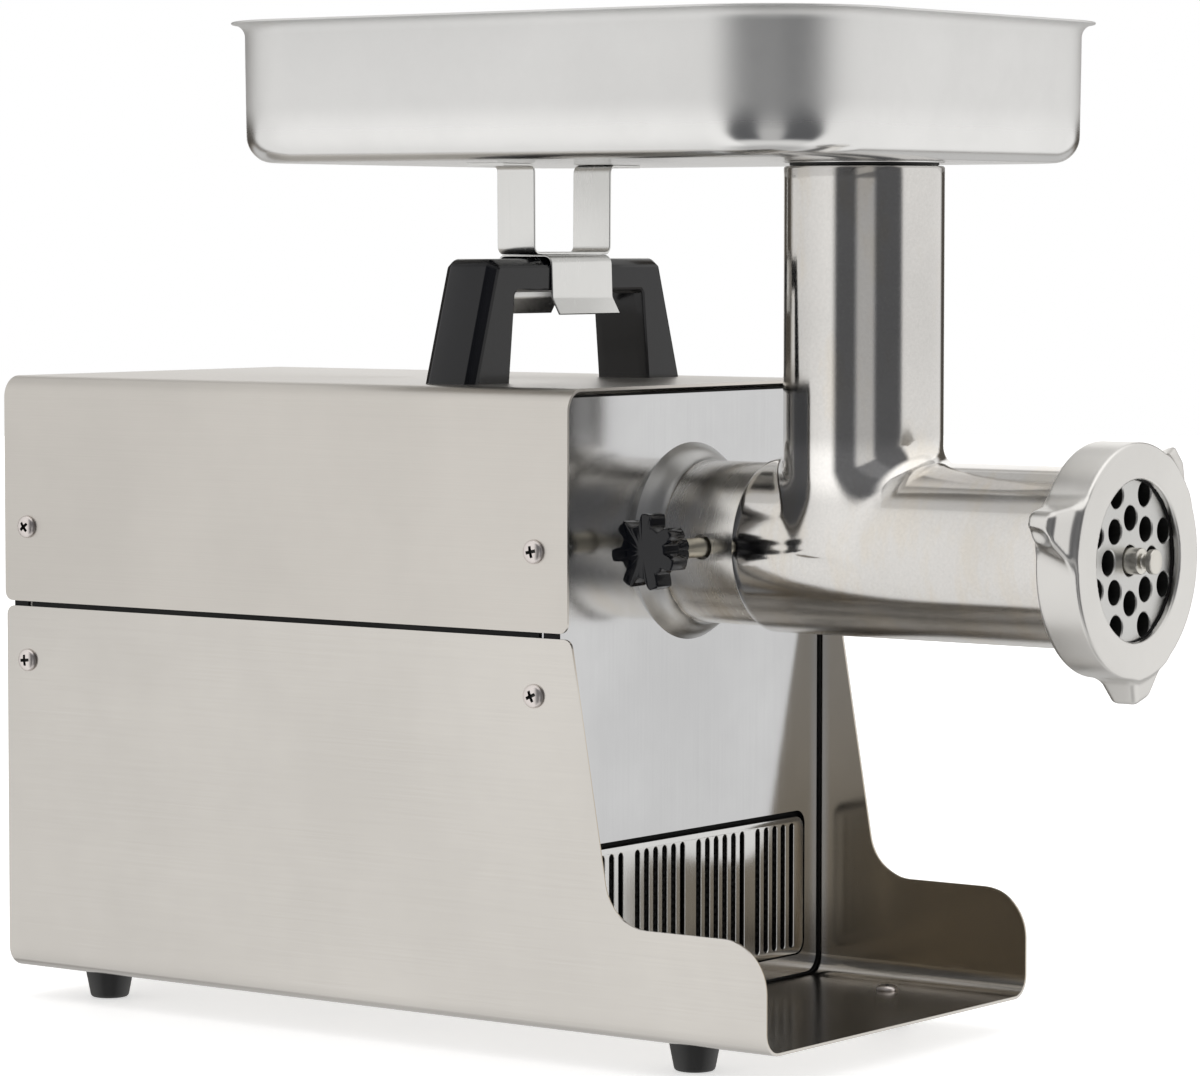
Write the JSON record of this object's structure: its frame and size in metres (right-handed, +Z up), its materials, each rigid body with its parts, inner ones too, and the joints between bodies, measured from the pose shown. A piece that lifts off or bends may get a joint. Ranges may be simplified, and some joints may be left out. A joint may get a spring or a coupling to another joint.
{
  "type": "electric meat grinder",
  "caption": "Electric meat grinder with a folded sheet-metal body, cast grinding head with ring nut and perforated plate, meat tray, carry handle, lock knob and geared motor.",
  "frame": {"origin": "middle of the machine's bounding box, on the plane its feet stand on", "axes": "-Y is the front, where the grinding head points; +X is the right side seen from the front; +Z is up"},
  "size_m": [0.2448, 0.518, 0.4136],
  "materials": {
    "brushed_cover": "horizontally brushed stainless sheet",
    "polished_front": "finely polished stainless sheet",
    "tray_steel": "satin pressed stainless sheet",
    "cast_satin": "satin polished casting",
    "plate_steel": "ground steel",
    "screw_steel": "bright plated screw",
    "plated_steel": "zinc plated steel",
    "brass_plated": "bright pin",
    "black_plastic": "glossy black moulding",
    "black_moulding": "satin black moulding",
    "red_moulding": "red moulding",
    "foot_rubber": "black rubber",
    "seal_rubber": "nitrile rubber",
    "nylon": "white nylon",
    "die_cast": "die-cast aluminium",
    "shaft_steel": "machined steel",
    "bearing_steel": "ground bearing ring",
    "lamination": "stacked laminations",
    "enamelled_copper": "enamelled copper wire",
    "capacitor_case": "drawn can"
  },
  "bodies": {
    "machine": {"upper_cover": "brushed_cover", "lower_chassis": "brushed_cover", "front_plate": "polished_front", "vent_grille": "polished_front", "rear_panel": "brushed_cover", "side_screws": "screw_steel", "cage_nuts": "plated_steel", "carry_handle": "black_plastic", "handle_screws": "plated_steel", "foot_front_left": "foot_rubber", "foot_front_right": "foot_rubber", "foot_rear_left": "foot_rubber", "foot_rear_right": "foot_rubber", "foot_screws": "screw_steel", "drive_neck": "cast_satin", "neck_collar": "cast_satin", "head_barrel": "cast_satin", "head_throat": "cast_satin", "thrust_washer": "nylon", "gearbox_housing": "die_cast", "gearbox_cover": "die_cast", "gearbox_screws": "plated_steel", "shaft_seal": "seal_rubber", "output_bearings": "bearing_steel", "intermediate_bearings": "bearing_steel", "motor_stator": "lamination", "motor_windings": "enamelled_copper", "motor_front_bell": "die_cast", "motor_rear_bell": "die_cast", "motor_bearings": "bearing_steel", "motor_bolts": "plated_steel", "motor_bracket": "plated_steel", "bracket_bolts": "plated_steel", "run_capacitor": "capacitor_case", "capacitor_strap": "plated_steel", "switch_body": "black_moulding", "reset_body": "black_moulding", "cable_gland": "black_moulding"},
    "auger_train": {"auger": "cast_satin", "auger_flight": "cast_satin", "auger_stud": "plate_steel", "knife": "plate_steel", "output_shaft": "shaft_steel", "output_gear": "shaft_steel"},
    "intermediate_shaft_group": {"intermediate_shaft": "shaft_steel", "intermediate_gear": "shaft_steel"},
    "motor_armature": {"motor_shaft": "shaft_steel", "motor_rotor": "lamination", "cooling_fan": "black_moulding"},
    "plate": {"grinding_plate": "plate_steel"},
    "ring": {"ring_nut": "cast_satin"},
    "knob_stud": {"lock_stud": "brass_plated"},
    "knob": {"lock_knob": "black_plastic"},
    "tray": {"meat_tray": "tray_steel", "tray_spout": "tray_steel", "tray_bracket": "tray_steel", "tray_clip": "tray_steel"},
    "rocker": {"switch_rocker": "black_moulding"},
    "reset": {"reset_button": "red_moulding"}
  },
  "joints": [
    {"name": "auger_spin", "type": "hinge", "parent": "machine", "child": "auger_train", "pos_m": [0, -0.1485, 0.203], "axis": [0, 1, 0], "continuous": true},
    {"name": "intermediate_spin", "type": "hinge", "parent": "machine", "child": "intermediate_shaft_group", "pos_m": [-0.03, -0.0085, 0.14647], "axis": [0, 1, 0], "continuous": true},
    {"name": "motor_spin", "type": "hinge", "parent": "machine", "child": "motor_armature", "pos_m": [0, 0.0815, 0.10522], "axis": [0, 1, 0], "continuous": true},
    {"name": "plate_slide", "type": "slide", "parent": "machine", "child": "plate", "axis": [0, -1, 0], "range_m": [0, 0.016]},
    {"name": "ring_nut_turn", "type": "hinge", "parent": "plate", "child": "ring", "pos_m": [0, -0.2385, 0.203], "axis": [0, -1, 0], "range_deg": [0, 1441]},
    {"name": "lock_stud_slide", "type": "slide", "parent": "machine", "child": "knob_stud", "axis": [-1, 0, 0], "range_m": [0, 0.006]},
    {"name": "lock_knob_turn", "type": "hinge", "parent": "knob_stud", "child": "knob", "pos_m": [-0.068, -0.0685, 0.203], "axis": [-1, 0, 0], "range_deg": [0, 1730]},
    {"name": "tray_lift", "type": "slide", "parent": "machine", "child": "tray", "axis": [0, 0, 1], "range_m": [0, 0.08]},
    {"name": "rocker_switch", "type": "hinge", "parent": "machine", "child": "rocker", "pos_m": [0.039, 0.2415, 0.13], "axis": [1, 0, 0], "range_deg": [0, 14]},
    {"name": "reset_press", "type": "slide", "parent": "machine", "child": "reset", "axis": [0, -1, 0], "range_m": [0, 0.003], "stiffness_N_per_m": 400, "springref_m": -0.003}
  ],
  "couplings": [
    {"joint": "intermediate_spin", "follows": "auger_spin", "ratio": -2.7647},
    {"joint": "motor_spin", "follows": "auger_spin", "ratio": 8.2941},
    {"joint": "ring_nut_turn", "follows": "plate_slide", "rad_per_m": 1570.8},
    {"joint": "lock_knob_turn", "follows": "lock_stud_slide", "rad_per_m": 5026.5}
  ]
}
